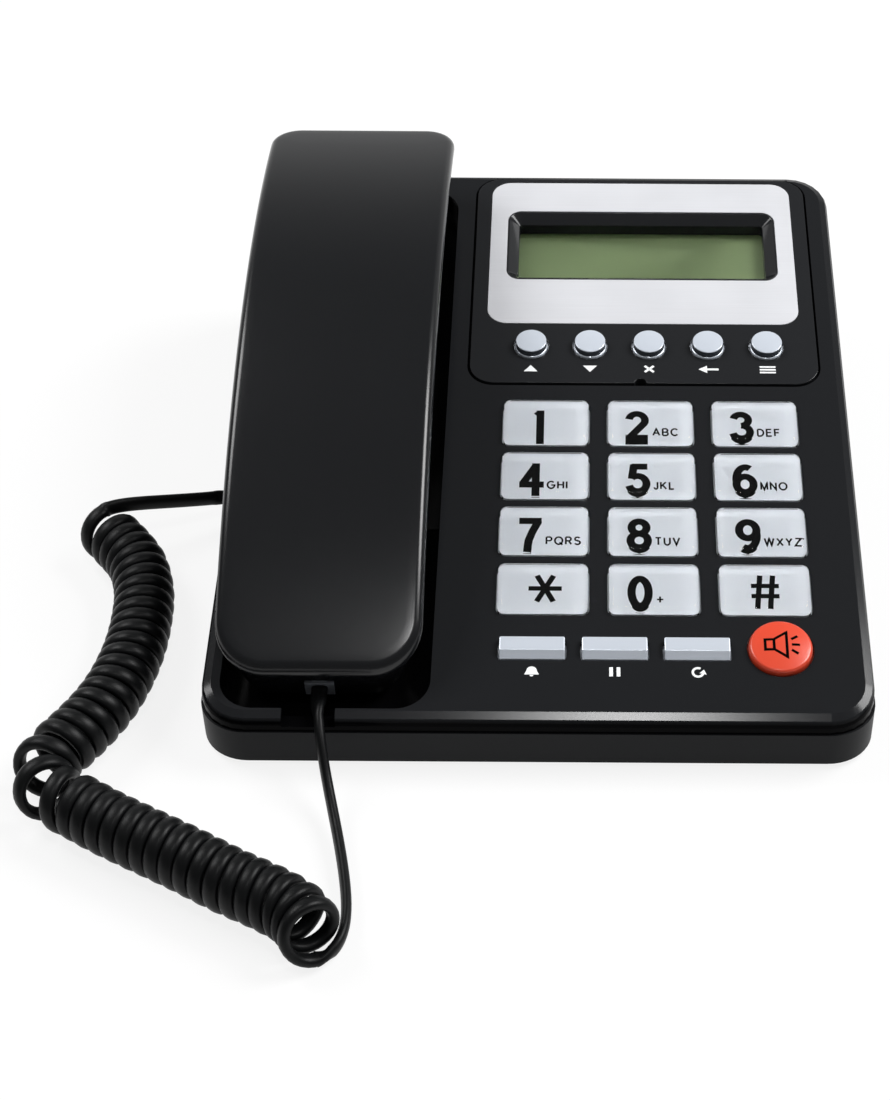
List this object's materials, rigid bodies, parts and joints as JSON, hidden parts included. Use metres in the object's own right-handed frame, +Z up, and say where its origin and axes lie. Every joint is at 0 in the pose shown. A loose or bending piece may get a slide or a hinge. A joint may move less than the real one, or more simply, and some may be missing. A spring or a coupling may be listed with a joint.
{
  "type": "corded desk telephone",
  "caption": "Corded desk telephone with a sloping case, a handset in a cradle, large number keys, a display panel with menu keys, and a curly cord that lies on the table.",
  "frame": {"origin": "on the table, under the middle of the case, without the cord", "axes": "+X to the user's right, +Y to the back of the telephone, +Z up"},
  "size_m": [0.2192, 0.2712, 0.0725],
  "materials": {
    "case_gloss": "high gloss black",
    "tray_satin": "satin black",
    "panel_gloss": "high gloss black",
    "plate_aluminium": "fine brushed",
    "window_clear": "clear",
    "display_green": "smooth grey green",
    "key_clear": "clear gloss",
    "key_label": "satin blue white",
    "key_silver": "silver grey",
    "key_red": "satin gloss red",
    "mat_silicone": "matt grey",
    "board_green": "satin green",
    "speaker_black": "matt black",
    "spring_steel": "bright",
    "switch_blue": "matt dark blue",
    "jack_black": "satin black",
    "jack_ivory": "satin light grey",
    "foot_rubber": "matt black",
    "handset_gloss": "gloss black",
    "capsule_grey": "satin",
    "plug_clear": "frosted clear",
    "cord_black": "semi matt black"
  },
  "bodies": {
    "base": {"lower_case": "tray_satin", "upper_case": "case_gloss", "rubber_feet": "foot_rubber", "case_screws": "spring_steel", "display_panel": "panel_gloss", "fascia_plate": "plate_aluminium", "lcd_lens": "window_clear", "lcd_module": "display_green", "keypad_mat": "mat_silicone", "main_board": "board_green", "loudspeaker": "speaker_black", "hook_spring": "spring_steel", "hook_switch": "switch_blue", "base_jack": "jack_black", "line_jack": "jack_ivory", "base_plug": "plug_clear", "cord_handset_lead": "cord_black", "cord_coil": "cord_black", "cord_base_lead": "cord_black"},
    "handset": {"handset_back": "handset_gloss", "handset_front": "handset_gloss", "handset_receiver": "capsule_grey", "handset_microphone": "capsule_grey", "handset_jack": "jack_black", "handset_screws": "spring_steel", "handset_plug": "plug_clear"},
    "hook": {"hook_plunger": "case_gloss"},
    "button_1": {"cap_1": "key_clear", "key_1": "key_label"},
    "button_2": {"cap_2": "key_clear", "key_2": "key_label"},
    "button_3": {"cap_3": "key_clear", "key_3": "key_label"},
    "button_4": {"cap_4": "key_clear", "key_4": "key_label"},
    "button_5": {"cap_5": "key_clear", "key_5": "key_label"},
    "button_6": {"cap_6": "key_clear", "key_6": "key_label"},
    "button_7": {"cap_7": "key_clear", "key_7": "key_label"},
    "button_8": {"cap_8": "key_clear", "key_8": "key_label"},
    "button_9": {"cap_9": "key_clear", "key_9": "key_label"},
    "button_star": {"cap_star": "key_clear", "key_star": "key_label"},
    "button_0": {"cap_0": "key_clear", "key_0": "key_label"},
    "button_hash": {"cap_hash": "key_clear", "key_hash": "key_label"},
    "button_up": {"menu_key_up": "key_silver"},
    "button_down": {"menu_key_down": "key_silver"},
    "button_erase": {"menu_key_erase": "key_silver"},
    "button_back": {"menu_key_back": "key_silver"},
    "button_menu": {"menu_key_menu": "key_silver"},
    "button_ring": {"bar_key_ring": "key_silver"},
    "button_pause": {"bar_key_pause": "key_silver"},
    "button_redial": {"bar_key_redial": "key_silver"},
    "button_loudspeaker": {"speaker_key": "key_red"}
  },
  "joints": [
    {"name": "handset_lift", "type": "slide", "parent": "base", "child": "handset", "axis": [0, -0.165, 0.9863], "range_m": [0, 0.08]},
    {"name": "hook_rise", "type": "slide", "parent": "base", "child": "hook", "axis": [0, -0.165, 0.9863], "range_m": [0, 0.004], "deforming": ["hook_spring"]},
    {"name": "press_1", "type": "slide", "parent": "base", "child": "button_1", "axis": [0, 0.165, -0.9863], "range_m": [0, 0.0015], "stiffness_N_per_m": 700},
    {"name": "press_2", "type": "slide", "parent": "base", "child": "button_2", "axis": [0, 0.165, -0.9863], "range_m": [0, 0.0015], "stiffness_N_per_m": 700},
    {"name": "press_3", "type": "slide", "parent": "base", "child": "button_3", "axis": [0, 0.165, -0.9863], "range_m": [0, 0.0015], "stiffness_N_per_m": 700},
    {"name": "press_4", "type": "slide", "parent": "base", "child": "button_4", "axis": [0, 0.165, -0.9863], "range_m": [0, 0.0015], "stiffness_N_per_m": 700},
    {"name": "press_5", "type": "slide", "parent": "base", "child": "button_5", "axis": [0, 0.165, -0.9863], "range_m": [0, 0.0015], "stiffness_N_per_m": 700},
    {"name": "press_6", "type": "slide", "parent": "base", "child": "button_6", "axis": [0, 0.165, -0.9863], "range_m": [0, 0.0015], "stiffness_N_per_m": 700},
    {"name": "press_7", "type": "slide", "parent": "base", "child": "button_7", "axis": [0, 0.165, -0.9863], "range_m": [0, 0.0015], "stiffness_N_per_m": 700},
    {"name": "press_8", "type": "slide", "parent": "base", "child": "button_8", "axis": [0, 0.165, -0.9863], "range_m": [0, 0.0015], "stiffness_N_per_m": 700},
    {"name": "press_9", "type": "slide", "parent": "base", "child": "button_9", "axis": [0, 0.165, -0.9863], "range_m": [0, 0.0015], "stiffness_N_per_m": 700},
    {"name": "press_star", "type": "slide", "parent": "base", "child": "button_star", "axis": [0, 0.165, -0.9863], "range_m": [0, 0.0015], "stiffness_N_per_m": 700},
    {"name": "press_0", "type": "slide", "parent": "base", "child": "button_0", "axis": [0, 0.165, -0.9863], "range_m": [0, 0.0015], "stiffness_N_per_m": 700},
    {"name": "press_hash", "type": "slide", "parent": "base", "child": "button_hash", "axis": [0, 0.165, -0.9863], "range_m": [0, 0.0015], "stiffness_N_per_m": 700},
    {"name": "press_up", "type": "slide", "parent": "base", "child": "button_up", "axis": [0, 0.165, -0.9863], "range_m": [0, 0.0015], "stiffness_N_per_m": 500},
    {"name": "press_down", "type": "slide", "parent": "base", "child": "button_down", "axis": [0, 0.165, -0.9863], "range_m": [0, 0.0015], "stiffness_N_per_m": 500},
    {"name": "press_erase", "type": "slide", "parent": "base", "child": "button_erase", "axis": [0, 0.165, -0.9863], "range_m": [0, 0.0015], "stiffness_N_per_m": 500},
    {"name": "press_back", "type": "slide", "parent": "base", "child": "button_back", "axis": [0, 0.165, -0.9863], "range_m": [0, 0.0015], "stiffness_N_per_m": 500},
    {"name": "press_menu", "type": "slide", "parent": "base", "child": "button_menu", "axis": [0, 0.165, -0.9863], "range_m": [0, 0.0015], "stiffness_N_per_m": 500},
    {"name": "press_ring", "type": "slide", "parent": "base", "child": "button_ring", "axis": [0, 0.165, -0.9863], "range_m": [0, 0.0015], "stiffness_N_per_m": 500},
    {"name": "press_pause", "type": "slide", "parent": "base", "child": "button_pause", "axis": [0, 0.165, -0.9863], "range_m": [0, 0.0015], "stiffness_N_per_m": 500},
    {"name": "press_redial", "type": "slide", "parent": "base", "child": "button_redial", "axis": [0, 0.165, -0.9863], "range_m": [0, 0.0015], "stiffness_N_per_m": 500},
    {"name": "press_loudspeaker", "type": "slide", "parent": "base", "child": "button_loudspeaker", "axis": [0, 0.165, -0.9863], "range_m": [0, 0.0015], "stiffness_N_per_m": 600}
  ],
  "couplings": [
    {"joint": "hook_rise", "follows": "handset_lift", "ratio": 0.05}
  ]
}
